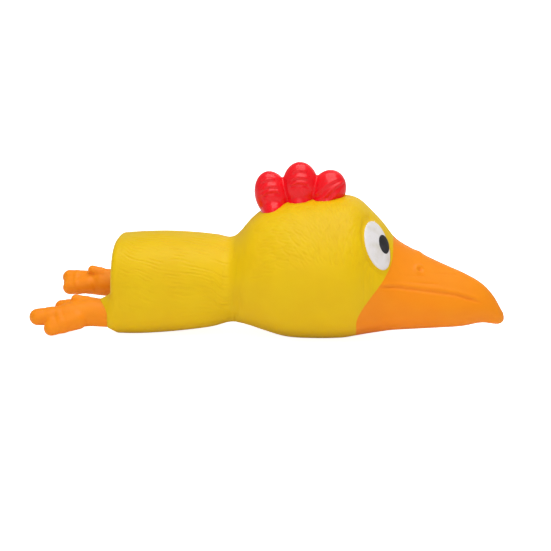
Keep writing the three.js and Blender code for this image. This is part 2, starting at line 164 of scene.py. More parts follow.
def stations():
    """Cross-sections along the toy: x, top, bottom, half width, pinch and squareness."""
    def torso(share):
        return lerp(REAR_X, NECK_X, share)

    def head(share):
        return lerp(NECK_X, BEAK_ROOT_X, share)

    def beak(share):
        return lerp(BEAK_ROOT_X, BEAK_TIP_X, share)

    def crown(share):
        return lerp(NECK_TOP, HEAD_HEIGHT, share)

    def cheek(share):
        return lerp(NECK_HALF, HEAD_HALF, share)

    def ridge(share):
        return lerp(BEAK_TIP_Z, BEAK_ROOT_TOP, share)

    square = TORSO_SQUARENESS
    forehead = (FOREHEAD_X - NECK_X) / (BEAK_ROOT_X - NECK_X)
    return np.array([
        [torso(0), TORSO_HEIGHT - 1.7, -REST_DEPTH, TORSO_HALF - 1, 0, square - 0.14],
        [torso(0.2), TORSO_HEIGHT - 0.9, -REST_DEPTH, TORSO_HALF, 0, square - 0.06],
        [torso(0.42), TORSO_HEIGHT, 0.2, TORSO_HALF, 0, square],
        [torso(0.65), TORSO_HEIGHT - 0.2, 1.6, TORSO_HALF - 0.9, 0, square],
        [torso(0.85), NECK_TOP + 0.3, 3, NECK_HALF + 0.6, 0, (1 + square) / 2],
        [head(0), NECK_TOP, NECK_BOTTOM, NECK_HALF, 0, 1],
        [head(0.11), crown(0.44), 3.8, cheek(0.46), 0.02, 1],
        [head(0.19), crown(0.66), 2.3, cheek(0.66), 0.04, 1],
        [head(0.34), crown(0.86), -REST_DEPTH / 4, cheek(0.91), 0.06, 1],
        [head(0.5), crown(0.94), -REST_DEPTH, HEAD_HALF, 0.08, 1],
        [head(forehead), HEAD_HEIGHT, 0.2, cheek(0.9), 0.1, 1],
        [head(0.77), crown(0.93), 1.2, cheek(0.74), 0.12, 1],
        [head(0.85), crown(0.69), 2.1, BEAK_HALF + 5, 0.15, 1],
        [head(0.93), crown(0.4), 3, BEAK_HALF + 1.8, 0.2, 1],
        [beak(0), BEAK_ROOT_TOP, 3.9, BEAK_HALF, 0.28, 1],
        [beak(0.17), ridge(0.85), 4.7, BEAK_HALF * 0.89, 0.36, 1],
        [beak(0.4), ridge(0.69), 5.5, BEAK_HALF * 0.75, 0.38, 1],
        [beak(0.64), ridge(0.54), 6.2, BEAK_HALF * 0.58, 0.36, 1],
        [beak(0.82), ridge(0.39), 7.8, BEAK_HALF * 0.41, 0.3, 1],
        [beak(0.93), ridge(0.215), 7.3, BEAK_HALF * 0.27, 0.2, 1],
        [beak(1), ridge(0.06), 7.2, BEAK_HALF * 0.2, 0.1, 1],
    ])


def section_lines(step=0.2, softness=0.9):
    """The stations joined by smooth curves: x values and the five sizes at each."""
    table = stations()
    x = table[:, 0]
    sizes = table[:, 1:]
    slope = np.zeros_like(sizes)
    slope[1:-1] = (sizes[2:] - sizes[:-2]) / (x[2:] - x[:-2])[:, None]
    fine = np.arange(x[0], x[-1] + step, step)
    span = np.clip(np.searchsorted(x, fine, side="right") - 1, 0, len(x) - 2)
    width = x[span + 1] - x[span]
    share = np.clip((fine - x[span]) / width, 0, 1)[:, None]
    square = share * share
    cube = square * share
    curve = (
        (2 * cube - 3 * square + 1) * sizes[span]
        + (cube - 2 * square + share) * width[:, None] * slope[span]
        + (3 * square - 2 * cube) * sizes[span + 1]
        + (cube - square) * width[:, None] * slope[span + 1]
    )
    reach = int(4 * softness / step)
    kernel = hill(np.arange(-reach, reach + 1) * step, softness * math.sqrt(2))
    kernel /= kernel.sum()
    padded = np.pad(curve, ((reach, reach), (0, 0)), mode="edge")
    smooth = [np.convolve(padded[:, k], kernel, mode="valid") for k in range(curve.shape[1])]
    return fine, np.array(smooth).T


LINE_X, LINE_SIZES = section_lines()


def section(x, angle, inset=0.0):
    """Points of the skin at x and angle round it, sunk by inset."""
    top, bottom, half, pinch, power = (np.interp(x, LINE_X, LINE_SIZES[:, k]) for k in range(5))
    top = top - inset
    bottom = bottom + inset
    half = np.maximum(half - inset, 0.3)
    up = np.sign(np.sin(angle)) * np.abs(np.sin(angle)) ** power
    out = np.sign(np.cos(angle)) * np.abs(np.cos(angle)) ** power * (1 - pinch * up)
    rise = np.maximum((top - bottom) / 2, 0.3)
    return half * out, (top + bottom) / 2 + rise * up


def border_x(z):
    """Where yellow meets orange at each height."""
    return lerp(CHEEK_X, BROW_X, smoothstep(z, BORDER_LOW_Z, BORDER_HIGH_Z))


def border_pull(t):
    """How strongly a ring bends to the colour border: all the way at the border itself."""
    return smoothstep(t, 5, BROW_X) * (1 - smoothstep(t, BROW_X, 66))


def skin_rings(angle, t, inset=0.0):
    """Rings round the toy, one per t, each leaning with the colour border."""
    t = np.asarray(t, float)[:, None]
    angle = angle[None, :]
    pull = border_pull(t)
    y, z = section(t + 0 * angle, angle, inset)
    x = t + 0 * angle
    for _ in range(12):
        x = t + pull * (border_x(z) - BROW_X)
        y, z = section(x, angle, inset)
    return np.stack([x, y, z], axis=-1)


def grid_normals(points):
    """Outward normals of a grid of rings."""
    along = np.gradient(points, axis=0)
    around = np.roll(points, -1, axis=1) - np.roll(points, 1, axis=1)
    normal = np.cross(around, along)
    return normal / np.maximum(np.linalg.norm(normal, axis=-1, keepdims=True), 1e-9)


def wander(u, v, seed):
    """Smooth seeded noise from 0 to 1 that changes about once per unit."""
    table = np.random.default_rng(seed).random((128, 128))
    column = np.floor(u).astype(int)
    row = np.floor(v).astype(int)
    a = u - column
    b = v - row
    a = a * a * (3 - 2 * a)
    b = b * b * (3 - 2 * b)

    def at(i, j):
        return table[(column + i) % 128, (row + j) % 128]

    low = lerp(at(0, 0), at(1, 0), a)
    high = lerp(at(0, 1), at(1, 1), a)
    return lerp(low, high, b)


# ---- Relief moulded into the skin, in millimetres along the normal ---------------------------
def feather_lines(x, down, side, pitch, depth):
    """Long wavy barbs along the back and sides of the torso."""
    slant = 0.1 * (x - REAR_X) + 5.5 * (1 - np.exp(-(x - REAR_X) / 7))
    sway = 3.0 * (wander(x / 9, down / 10, 11) - 0.5) + 0.9 * (wander(x / 3, down / 5, 13) - 0.5)
    line = (down - slant + sway) / pitch + 40
    index = np.floor(line)
    across = (line - index - 0.5) * pitch
    strength = smoothstep(wander(x / 5.5 + 7.3 * index, index * 3 + 50 * (side > 0), 12), 0.35, 0.85)
    region = smoothstep(x, REAR_X + 2, REAR_X + 8) * (1 - smoothstep(x, NECK_X - 1.5, NECK_X + 1))
    region = region * (1 - smoothstep(down, 36, 44))
    groove = hill(across, 0.42) - 0.4 * hill(np.abs(across) - 0.8, 0.4)
    return -depth * groove * strength * region


def head_strokes(points, down, depth):
    """Short tufts of barbs in rows over the head, turning upright behind the eye."""
    x, y = points[..., 0], points[..., 1]
    relief = np.zeros_like(x)
    chance = np.random.default_rng(21)
    for side in (-1, 1):
        for row, level in enumerate(np.arange(7, 37, 4.6)):
            for tuft in np.arange(-15, 25, 4.4):
                middle = tuft + 2.2 * (row % 2) + chance.uniform(-0.9, 0.9)
                height = level + chance.uniform(-0.8, 0.8)
                turn = math.radians(lerp(15, 100, smoothstep(middle, -12, 21)))
                for blade in range(4):
                    fan = turn + math.radians((blade - 1.5) * 9 + chance.uniform(-6, 6))
                    length = chance.uniform(1.4, 2.6)
                    shift = (blade - 1.5) * 1.15
                    centre_x = middle - shift * math.sin(turn)
                    centre_down = height + shift * math.cos(turn)
                    strong = chance.uniform(0.4, 1.0)
                    near = (np.abs(x - centre_x) < 5) & (np.abs(down - centre_down) < 5) & (y * side > 0)
                    ahead = x[near] - centre_x
                    below = down[near] - centre_down
                    run = ahead * math.cos(fan) + below * math.sin(fan)
                    across = -ahead * math.sin(fan) + below * math.cos(fan) + 0.05 * run * run
                    past = np.maximum(np.abs(run) - length, 0)
                    relief[near] -= depth * strong * hill(across, 0.4) * hill(past, 0.7)
    return np.maximum(relief, -1.4 * depth)


def neck_wrinkles(x, down):
    """Fine folds round the neck where the head bends on the body."""
    relief = -0.06 * hill(x - NECK_X - 0.6, 1.3) * smoothstep(down, 4, 12)
    for offset, seed in ((-2.2, 31), (1.5, 32), (3.4, 33), (5.0, 34)):
        line = NECK_X + offset + 1.6 * (wander(down / 7, 0 * down + seed, seed) - 0.5)
        fade = smoothstep(wander(down / 5, 0 * down + 3, seed + 40), 0.35, 0.6)
        relief -= 0.13 * hill(x - line, 0.36) * fade
    return relief


def eye_distance(x, z):
    """1 on the outline of the eye seen from the side, 0 at its middle."""
    ahead = (x - EYE_X) * math.cos(EYE_LEAN) + (z - EYE_Z) * math.sin(EYE_LEAN)
    above = -(x - EYE_X) * math.sin(EYE_LEAN) + (z - EYE_Z) * math.cos(EYE_LEAN)
    return np.hypot(ahead / EYE_HALF_WIDTH, above / EYE_HALF_HEIGHT)


def eye_relief(points, bulge):
    """A low dome under each painted eye, with a moat round its back and bottom."""
    x, y, z = points[..., 0], points[..., 1], points[..., 2]
    inside = eye_distance(x, z)
    beside = smoothstep(np.abs(y), 3, 6) * (x > EYE_X - 14)
    dome = bulge * np.sqrt(np.clip(1 - inside**2, 0, 1) + 0.02) * (inside < 1)
    rearward = 0.35 + 0.65 * smoothstep(EYE_X - x + 0.35 * (EYE_Z - z), -3, 3)
    moat = -0.3 * hill((inside - 1.14) * EYE_HALF_WIDTH, 0.5) * rearward * (inside >= 0.9)
    return (dome + moat) * beside


def beak_relief(points, depth):
    """The mouth line with the upper beak's lip over it, fine lines and the nostrils."""
    x, y, z = points[..., 0], points[..., 1], points[..., 2]
    mouth = np.interp(
        x, [30, 38.7, 47, 54.4, 61.7, 69.3, 74], [24.7, 24.2, 22.9, 21.8, 20.6, 18.2, 16.6])
    above = z - mouth
    along = smoothstep(x, 30.5, 35) * (1 - smoothstep(x, 67, 74))
    relief = -depth * hill(above, 0.55) * along
    relief += 0.55 * depth * hill(above - 1.3, 0.9) * along
    for rise, start, end, part in ((2.3, 41, 57, 0.35), (4.6, 39, 52, 0.16), (6.4, 50, 66, 0.14)):
        line = above - rise - 0.04 * (x - start)
        relief -= part * depth * hill(line, 0.34) * smoothstep(x, start, start + 4) * (
            1 - smoothstep(x, end - 5, end))
    for side in (-1, 1):
        away = np.linalg.norm(points - np.array([47.4, side * 8.0, 30.2]), axis=-1)
        behind = smoothstep(47.6 - x + 0.5 * (z - 30), -1.6, 1.6)
        relief += 0.4 * hill(away - 1.7, 0.75) * lerp(0.3, 1, behind) - 0.4 * hill(away, 0.95)
    return relief + 0.45 * hill(x - 46.8, 1.5) * hill(y, 2.2) * (above > 8)


def from_ankle(points, name):
    """The ankle's place, and each point's offsets and distance from the leg's axis."""
    ankle = joint_mm(name)
    across = points[..., 1] - ankle[1]
    above = points[..., 2] - ankle[2]
    return ankle, across, above, np.hypot(across, above)


def leg_bulge(points):
    """The torso's corners pushed outward where a leg runs inside them."""
    points = points.copy()
    for name in ("right_ankle", "left_ankle"):
        ankle, across, above, away = from_ankle(points, name)
        away = np.maximum(away, 0.5)
        reach = (LEG_RADIUS + 0.25) * (1 - smoothstep(points[..., 0], REAR_X + 1, REAR_X + 13))
        grown = (away**8 + reach**8) ** 0.125 / away
        points[..., 1] = ankle[1] + across * grown
        points[..., 2] = ankle[2] + above * grown
    return points


def leg_swell(points):
    """How far the rear face runs out along each leg, to the edge of the painted foot."""
    swell = np.zeros(points.shape[:2])
    for name in ("right_ankle", "left_ankle"):
        _, _, above, away = from_ankle(points, name)
        tilt = above / np.maximum(away, 0.5)
        edge = 1.2 + np.where(tilt > 0, 3.4, 0.3) * tilt**2
        outside = np.clip((away - LEG_RADIUS) / (LEG_FLARE - LEG_RADIUS), 0, 1)
        swell = np.maximum(swell, edge * (1 - outside) ** 2.1)
    return swell * (1 - smoothstep(points[..., 0], REAR_X + 0.5, REAR_X + 5))


def ring(x, y, z):
    """One ring of points that stands square to the toy's length."""
    return np.stack([np.full_like(y, x), y, z], axis=-1)


def rear_rings(angle):
    """Rings over the squeaker's seat, the rear face and its rounded edge."""
    y = SQUEAKER_SEAT_RADIUS * np.cos(angle)
    z = SQUEAKER_Z + SQUEAKER_SEAT_RADIUS * np.sin(angle)
    seat = [ring(REAR_X + depth, y, z) for depth in np.linspace(SEAT_DEPTH, 0, SEAT_RINGS)]
    edge = []
    for turn in np.linspace(math.pi / 2, 0, 14):
        x = REAR_X + REAR_EDGE * (1 - math.sin(turn))
        shrink = REAR_EDGE * (1 - math.cos(turn))
        edge.append(leg_bulge(ring(x, *section(np.full_like(angle, x), angle, shrink))))
    face = [lerp(seat[-1], edge[0], share) for share in np.linspace(0, 1, FACE_RINGS + 2)[1:-1]]
    return np.array(seat + face + edge)


def beak_tip_rings(angle):
    """Rings that close the beak round its low nose point."""
    rings = []
    for turn in np.linspace(0, math.pi / 2, 15)[1:]:
        x = BEAK_TIP_X - TIP_ROUNDING + (TIP_ROUNDING + NOSE_REACH) * math.sin(turn)
        y, z = section(np.full_like(angle, x), angle)
        size = max(math.cos(turn), 0.02)
        rings.append(ring(x, y * size, NOSE_Z + (z - NOSE_Z) * size))
    return np.array(rings)


def distance_from_top(points):
    """How far down the side each point lies, measured along its ring."""
    edges = np.linalg.norm(np.roll(points, -1, axis=1) - points, axis=-1)
    quarter = SKIN_ROUND // 4
    from_top = np.roll(np.cumsum(np.roll(edges, -quarter, axis=1), axis=1), quarter, axis=1)
    return np.minimum(from_top, from_top.max(axis=1, keepdims=True) - from_top)


def skin_grid(sizes):
    """Every point and normal of the whole skin, ring by ring from the squeaker to the beak."""
    step = sizes.ring_spacing / MM
    angle = 2 * np.pi * np.arange(SKIN_ROUND) / SKIN_ROUND
    rear = rear_rings(angle)
    stops = [REAR_X + REAR_EDGE, REAR_SPLIT_X, NECK_START_X, NECK_END_X, NAPE_END_X, BROW_X,
             BEAK_TIP_X - TIP_ROUNDING]
    t = [stops[0]]
    marks = [len(rear) - 1]
    for start, end in zip(stops[:-1], stops[1:]):
        count = max(2, round((end - start) / step))
        t += list(np.linspace(start, end, count + 1)[1:])
        marks.append(len(rear) + len(t) - 2)
    points = np.concatenate([rear, leg_bulge(skin_rings(angle, t[1:])), beak_tip_rings(angle)])
    normals = grid_normals(points)
    x, y = points[..., 0], points[..., 1]
    down = distance_from_top(points)
    relief = feather_lines(x, down, y, sizes.barb_spacing / MM, sizes.barb_depth / MM)
    relief += head_strokes(points, down, sizes.stroke_depth / MM)
    relief += neck_wrinkles(x, down) * hill(x - NECK_X, 9)
    relief += eye_relief(points, sizes.eye_bulge / MM)
    relief += beak_relief(points, sizes.mouth_depth / MM)
    relief += 0.22 * (wander(x / 13 + 40, down / 13 + 5 * (y > 0), 41) - 0.5) * (x > REAR_X + 4)
    relief[:SEAT_RINGS + FACE_RINGS - 2] = 0
    points = points + normals * relief[..., None]
    points[..., 0] -= leg_swell(points) * (np.arange(len(points)) >= SEAT_RINGS)[:, None]
    # The belly and chin end softly at the table instead of passing through it.
    height = points[..., 2]
    points[..., 2] = (height + np.sqrt(height**2 + 0.02)) / 2
    return points, grid_normals(points), relief, marks


# ---- Mesh helpers -------------------------------------------------------------------------------
def new_object(name, points, faces, material, normals=None, relief=None):
    """A smooth-shaded object from points in millimetres."""
    mesh = bpy.data.meshes.new(name)
    mesh.from_pydata((np.asarray(points) * MM).tolist(), [], [tuple(face) for face in faces])
    mesh.update()
    mesh.shade_smooth()
    if relief is not None:
        mesh.attributes.new("relief", "FLOAT", "POINT").data.foreach_set(
            "value", np.asarray(relief, np.float32))
    if normals is not None:
        mesh.normals_split_custom_set_from_vertices(np.asarray(normals).tolist())
    obj = bpy.data.objects.new(name, mesh)
    bpy.context.scene.collection.objects.link(obj)
    mesh.materials.append(material)
    return obj


def grid_piece(name, grid, keep, material):
    """The grid's faces where keep is true, as one object."""
    points, normals, relief, _ = grid
    rows, count = points.shape[:2]
    row, column = np.nonzero(keep)
    following = (column + 1) % count
    faces = np.stack([
        row * count + column, row * count + following,
        (row + 1) * count + following, (row + 1) * count + column,
    ], axis=-1)
    used, packed = np.unique(faces, return_inverse=True)
    flat = points.reshape(-1, 3)[used]
    return new_object(
        name, flat, packed.reshape(faces.shape), material,
        normals.reshape(-1, 3)[used], relief.reshape(-1)[used])


def rows_between(grid, first, last):
    """A mask of the quads between two rings."""
    keep = np.zeros((len(grid[0]) - 1, grid[0].shape[1]), bool)
    keep[first:last] = True
    return keep


def ring_faces(rings, around, capped=True):
    """The quads between rings of points, and the two end faces."""
    faces = [
        (i * around + j, i * around + (j + 1) % around,
         (i + 1) * around + (j + 1) % around, (i + 1) * around + j)
        for i in range(rings - 1) for j in range(around)]
    if capped:
        faces.append(tuple(reversed(range(around))))
        faces.append(tuple(range((rings - 1) * around, rings * around)))
    return faces


def lathe(profile, centre, segments=96):
    """Points and faces turned about the X axis. Each profile point is x and radius."""
    turn = 2 * np.pi * np.arange(segments) / segments
    points = [
        (centre[0] + x, centre[1] + radius * math.cos(a), centre[2] + radius * math.sin(a))
        for x, radius in profile for a in turn
    ]
    return points, ring_faces(len(profile), segments, capped=False)


def rounded_rod(start, end, start_radius, end_radius, rings=8, around=28):
    """A tapered rod with ball ends, as points and faces."""
    start = Vector(start)
    along = Vector(end) - start
    turn = along.to_track_quat("Z", "Y").to_matrix()
    profile = [(start_radius * math.sin(a), start_radius * math.cos(a))
               for a in np.linspace(-math.pi / 2, 0, rings)]
    profile += [(along.length + end_radius * math.sin(a), end_radius * math.cos(a))
                for a in np.linspace(0, math.pi / 2, rings)]
    points = []
    for height, radius in profile:
        wide = max(radius, 0.01)
        for a in np.linspace(0, 2 * math.pi, around, endpoint=False):
            local = Vector((wide * math.cos(a), wide * math.sin(a), height))
            points.append(tuple(start + turn @ local))
    return points, ring_faces(len(profile), around)


def egg(centre, radii, lean=0.0, rings=24, around=40):
    """An ellipsoid leaning about the Y axis, as points and faces."""
    points = []
    for a in np.linspace(-math.pi / 2, math.pi / 2, rings):
        wide = max(math.cos(a), 0.002)
        for b in np.linspace(0, 2 * math.pi, around, endpoint=False):
            local = Vector((
                radii[0] * wide * math.cos(b), radii[1] * wide * math.sin(b), radii[2] * math.sin(a)))
            points.append(tuple(Vector(centre) + Matrix.Rotation(lean, 3, "Y") @ local))
    return points, ring_faces(rings, around)


def fused(name, parts, voxel, passes):
    """Solids melted into one skin, as points, faces and normals in millimetres."""
    points = []
    faces = []
    for part_points, part_faces in parts:
        faces += [tuple(index + len(points) for index in face) for face in part_faces]
        points += part_points
    mesh = bpy.data.meshes.new(name)
    mesh.from_pydata(points, [], faces)
    rough = bpy.data.objects.new(name, mesh)
    bpy.context.scene.collection.objects.link(rough)
    remesh = rough.modifiers.new("Fuse", "REMESH")
    remesh.mode = "VOXEL"
    remesh.voxel_size = voxel
    smooth = rough.modifiers.new("Soften", "SMOOTH")
    smooth.factor = 0.5
    smooth.iterations = passes
    skin = bpy.data.meshes.new_from_object(rough.evaluated_get(bpy.context.evaluated_depsgraph_get()))
    bpy.data.objects.remove(rough)
    bpy.data.meshes.remove(mesh)
    found = np.array([vertex.co for vertex in skin.vertices])
    normals = np.array([vertex.normal for vertex in skin.vertices])
    quads = [tuple(polygon.vertices) for polygon in skin.polygons]
    bpy.data.meshes.remove(skin)
    return found, quads, normals


# ---- Materials -----------------------------------------------------------------------------------
def linear(hex_colour):
    """An sRGB hex colour as linear red, green and blue."""
    parts = [int(hex_colour[i:i + 2], 16) / 255 for i in (1, 3, 5)]
    return tuple(p / 12.92 if p <= 0.04045 else ((p + 0.055) / 1.055) ** 2.4 for p in parts)


def add(tree, kind, settings=None, values=None, links=None):
    """Adds a node with its settings, input values and links."""
    node = tree.nodes.new(kind)
    for key, value in (settings or {}).items():
        setattr(node, key, value)
    for key, value in (values or {}).items():
        node.inputs[key].default_value = value
    for key, source in (links or {}).items():
        tree.links.new(source, node.inputs[key])
    return node


def per_metre(millimetres):
    """The texture scale that repeats a pattern about every so many millimetres."""
    return 1 / (millimetres * MM)


def blank_material(name):
    """A new material, its empty node tree and the object coordinates."""
    material = bpy.data.materials.new(name)
    material.use_nodes = True
    material.node_tree.nodes.clear()
    place = add(material.node_tree, "ShaderNodeTexCoord")
    return material, material.node_tree, place.outputs["Object"]


def noise(tree, place, millimetres, detail, **values):
    """A noise pattern of that size, from 0 to 1."""
    values = {"Scale": per_metre(millimetres), "Detail": detail, **values}
    return add(tree, "ShaderNodeTexNoise", None, values, {"Vector": place}).outputs["Fac"]


def spread(tree, value, source, target):
    """The value taken from the source range to the target range."""
    ends = {"From Min": source[0], "From Max": source[1], "To Min": target[0], "To Max": target[1]}
    return add(tree, "ShaderNodeMapRange", None, ends, {"Value": value}).outputs["Result"]


def mixed(tree, share, colour, other, base=None, kind="MIX"):
    """A colour on its way to another. A base socket takes the place of the first one."""
    values = {"B": (*other, 1)}
    links = {"Factor": share}
    if base:
        links["A"] = base
    else:
        values["A"] = (*colour, 1)
    settings = {"data_type": "RGBA", "blend_type": kind}
    return add(tree, "ShaderNodeMix", settings, values, links).outputs["Result"]


def bumped(tree, height, strength, millimetres, normal=None):
    """A normal tilted by a height pattern."""
    links = {"Height": height}
    if normal:
        links["Normal"] = normal
    values = {"Strength": strength, "Distance": millimetres * MM}
    return add(tree, "ShaderNodeBump", None, values, links).outputs["Normal"]


def finished(material, values, links):
    """The material with a Principled shader joined to its output."""
    tree = material.node_tree
    shader = add(tree, "ShaderNodeBsdfPrincipled", None, values, links)
    add(tree, "ShaderNodeOutputMaterial", None, None, {"Surface": shader.outputs["BSDF"]})
    return material


def latex(name, colour, shade, roughness, grain_mm, grain_height, subsurface, coat=0.0):
    """Moulded latex: pigmented rubber, faintly textured, with a little light under the surface."""
    material, tree, place = blank_material(name)
    # Uneven pigment, so that the rubber doesn't look like a flat fill.
    cloud = spread(tree, noise(tree, place, 11, 3.0, Roughness=0.5), (0.35, 0.65), (0, 0.2))
    tint = mixed(tree, cloud, colour, shade)
    # Painted shade: the colour is darkened and dulled along the moulded grooves, which makes the feather
    # marks readable.
    relief = add(tree, "ShaderNodeAttribute", {"attribute_name": "relief"}).outputs["Fac"]
    groove = spread(tree, relief, (-0.04, -0.5), (0, 0.3))
    tint = mixed(tree, groove, None, shade, tint)
    tint = mixed(tree, groove, None, (0.82, 0.8, 0.74), tint, "MULTIPLY")
    # The mould's pores and grain break up the highlights.
    grain = noise(tree, place, grain_mm, 4.0, Roughness=0.6)
    pores = add(tree, "ShaderNodeTexVoronoi", None, {"Scale": per_metre(2.4 * grain_mm)},
                {"Vector": place})
    low = bumped(tree, pores.outputs["Distance"], 0.5, grain_height)
    return finished(material, {
        "IOR": 1.52, "Specular IOR Level": 0.2, "Subsurface Weight": subsurface,
        "Subsurface Scale": 2.5 * MM, "Subsurface Radius": (1.0, 0.55, 0.2),
        "Coat Weight": coat, "Coat Roughness": 0.12,
    }, {
        "Base Color": tint,
        "Roughness": spread(tree, grain, (0.3, 0.7), (roughness - 0.05, roughness + 0.06)),
        "Normal": bumped(tree, grain, 0.6, grain_height, low),
    })


def paint(name, colour, worn, roughness):
    """Brushed-on latex paint: an even satin film with faint flow marks and thin patches."""
    material, tree, place = blank_material(name)
    thin = spread(tree, noise(tree, place, 4, 3.0), (0.45, 0.75), (0, 0.8))
    flow = noise(tree, place, 0.9, 2.0)
    return finished(material, {"IOR": 1.5}, {
        "Base Color": mixed(tree, thin, colour, worn),
        "Roughness": spread(tree, flow, (0.3, 0.7), (roughness - 0.04, roughness + 0.06)),
        "Normal": bumped(tree, flow, 0.4, 0.05),
    })


def fibre(name, colour, hollow_shade):
    """Loose polyester fibre: matt white tangle, with painted shade in its hollows."""
    material, tree, place = blank_material(name)
    # Real fibres are 0.03 mm thick. The strands are drawn 0.8 mm wide so that they show.
    strand = noise(tree, place, 1.6, 6.0, Roughness=0.7, Distortion=2.5)
    # Painted shade: the strand pattern darkens the colour where the tangle has hollows.
    return finished(
        material, {"IOR": 1.57, "Roughness": 0.95, "Sheen Weight": 0.4, "Sheen Roughness": 0.5},
        {"Base Color": mixed(tree, strand, hollow_shade, colour), "Normal": bumped(tree, strand, 0.9, 0.6)})


def moulded_polyethylene(name, colour, shade):
    """Moulded polyethylene: waxy, slightly see-through white with a fine spark-eroded grain."""
    material, tree, place = blank_material(name)
    grain = noise(tree, place, 0.25, 2.0)
    return finished(material, {
        "IOR": 1.51, "Roughness": 0.38, "Subsurface Weight": 0.2, "Subsurface Scale": 1.5 * MM,
        "Subsurface Radius": (1.0, 0.9, 0.8),
    }, {
        "Base Color": mixed(tree, noise(tree, place, 3, 2.0), colour, shade),
        "Normal": bumped(tree, grain, 0.3, 0.03),
    })


def rolled_brass(name, colour):
    """Rolled brass: bright yellow metal with fine lines along the rolling direction."""
    material, tree, place = blank_material(name)
    stretch = add(tree, "ShaderNodeMapping", None, {"Scale": (1, 1, 0.05)}, {"Vector": place})
    lines = noise(tree, stretch.outputs["Vector"], 0.12, 3.0)
    return finished(material, {"Base Color": (*colour, 1), "Metallic": 1.0}, {
        "Roughness": spread(tree, lines, (0, 1), (0.2, 0.42)),
        "Normal": bumped(tree, lines, 0.3, 0.01),
    })


def opal_acrylic(name, colour):
    """Backlit opal acrylic: an even white glow with hardly any shadow, over a faint satin grain."""
    material, tree, place = blank_material(name)
    # The lamp under the sheet is bright to look at, and sheds little light on what lies there.
    seen = add(tree, "ShaderNodeLightPath").outputs["Is Camera Ray"]
    return finished(material, {
        "Base Color": (*colour, 1), "Roughness": 0.9, "Specular IOR Level": 0.0,
        "Emission Color": (1, 1, 1, 1),
    }, {
        "Normal": bumped(tree, noise(tree, place, 2, 2.0), 0.05, 0.05),
        "Emission Strength": spread(tree, seen, (0, 1), (0.05, 0.9)),
    })


def material_named(name):
    """The material of that name, made on first use from the colours in the scene."""
    found = bpy.data.materials.get(name)
    if found:
        return found
    colours = bpy.context.scene.chicken_colours
    makers = {
        "moulded_yellow_latex": lambda: latex(
            name, colours.yellow[:], linear("#e0ab00"), 0.46, 0.7, 0.035, 0.12),
        "painted_orange_latex": lambda: latex(
            name, colours.orange[:], linear("#f47c0a"), 0.42, 0.8, 0.03, 0.12),
        "painted_red_latex": lambda: latex(
            name, colours.red[:], linear("#d80a16"), 0.3, 1.1, 0.03, 0.1, 0.35),
        "painted_eye_white": lambda: paint(name, colours.eye_white[:], linear("#d8d2c6"), 0.42),
        "painted_pupil_black": lambda: paint(name, colours.pupil[:], linear("#3c3a42"), 0.36),
        "polyester_fibre": lambda: fibre(name, colours.filling[:], linear("#cfcabc")),
        "moulded_polyethylene": lambda: moulded_polyethylene(
            name, colours.squeaker[:], linear("#dcd8cc")),
        "rolled_brass": lambda: rolled_brass(name, colours.brass[:]),
    }
    return makers[name]()


# ---- Settings that a user can change ---------------------------------------------------------------
def length(name, description, millimetres, smallest=0.0):
    """A length setting."""
    return bpy.props.FloatProperty(
        name=name, description=description, default=millimetres * MM, min=smallest * MM, unit="LENGTH")


def pigment(name, description, hex_colour):
    """A colour setting."""
    return bpy.props.FloatVectorProperty(
        name=name, description=description, default=linear(hex_colour), subtype="COLOR")


class ChickenSizes(bpy.types.PropertyGroup):
    """Sizes of the moulded detail."""

    ring_spacing: length("Ring spacing", "Distance between the skin's rings of points", 0.42, 0.2)
    barb_spacing: length("Barb spacing", "Distance between the long feather lines", 1.75, 0.5)
    barb_depth: length("Barb depth", "Depth of the long feather lines on the torso", 0.15)
    stroke_depth: length("Stroke depth", "Depth of the short feather strokes on the head", 0.17)
    eye_bulge: length("Eye bulge", "Height of the dome under each eye", 1.0)
    mouth_depth: length("Mouth depth", "Depth of the line between upper and lower beak", 0.4)
    comb_wrinkle: length("Comb wrinkle", "Height of the moulded wrinkles on the comb", 0.4)
    paint_film: length("Paint film", "Thickness of the eye paint", 0.12)


class ChickenColours(bpy.types.PropertyGroup):
    """Pigments and paints."""

    yellow: pigment("Body yellow", "Pigment of the moulded skin", "#edc400")
    orange: pigment("Beak orange", "Paint of the beak and feet", "#fd9410")
    red: pigment("Comb red", "Paint of the comb", "#fa0c1c")
    eye_white: pigment("Eye white", "Paint of the eye", "#eae6e6")
    pupil: pigment("Pupil black", "Paint of the pupil", "#1c1a1c")
    filling: pigment("Filling", "Fibre inside the skin", "#f2f0ea")
    squeaker: pigment("Squeaker", "Plastic of the squeaker", "#f1efe8")
    brass: pigment("Reed brass", "Metal of the reed", "#d9b25a")
    floor: pigment("Floor", "Pale ground under the toy", "#f4f4f4")


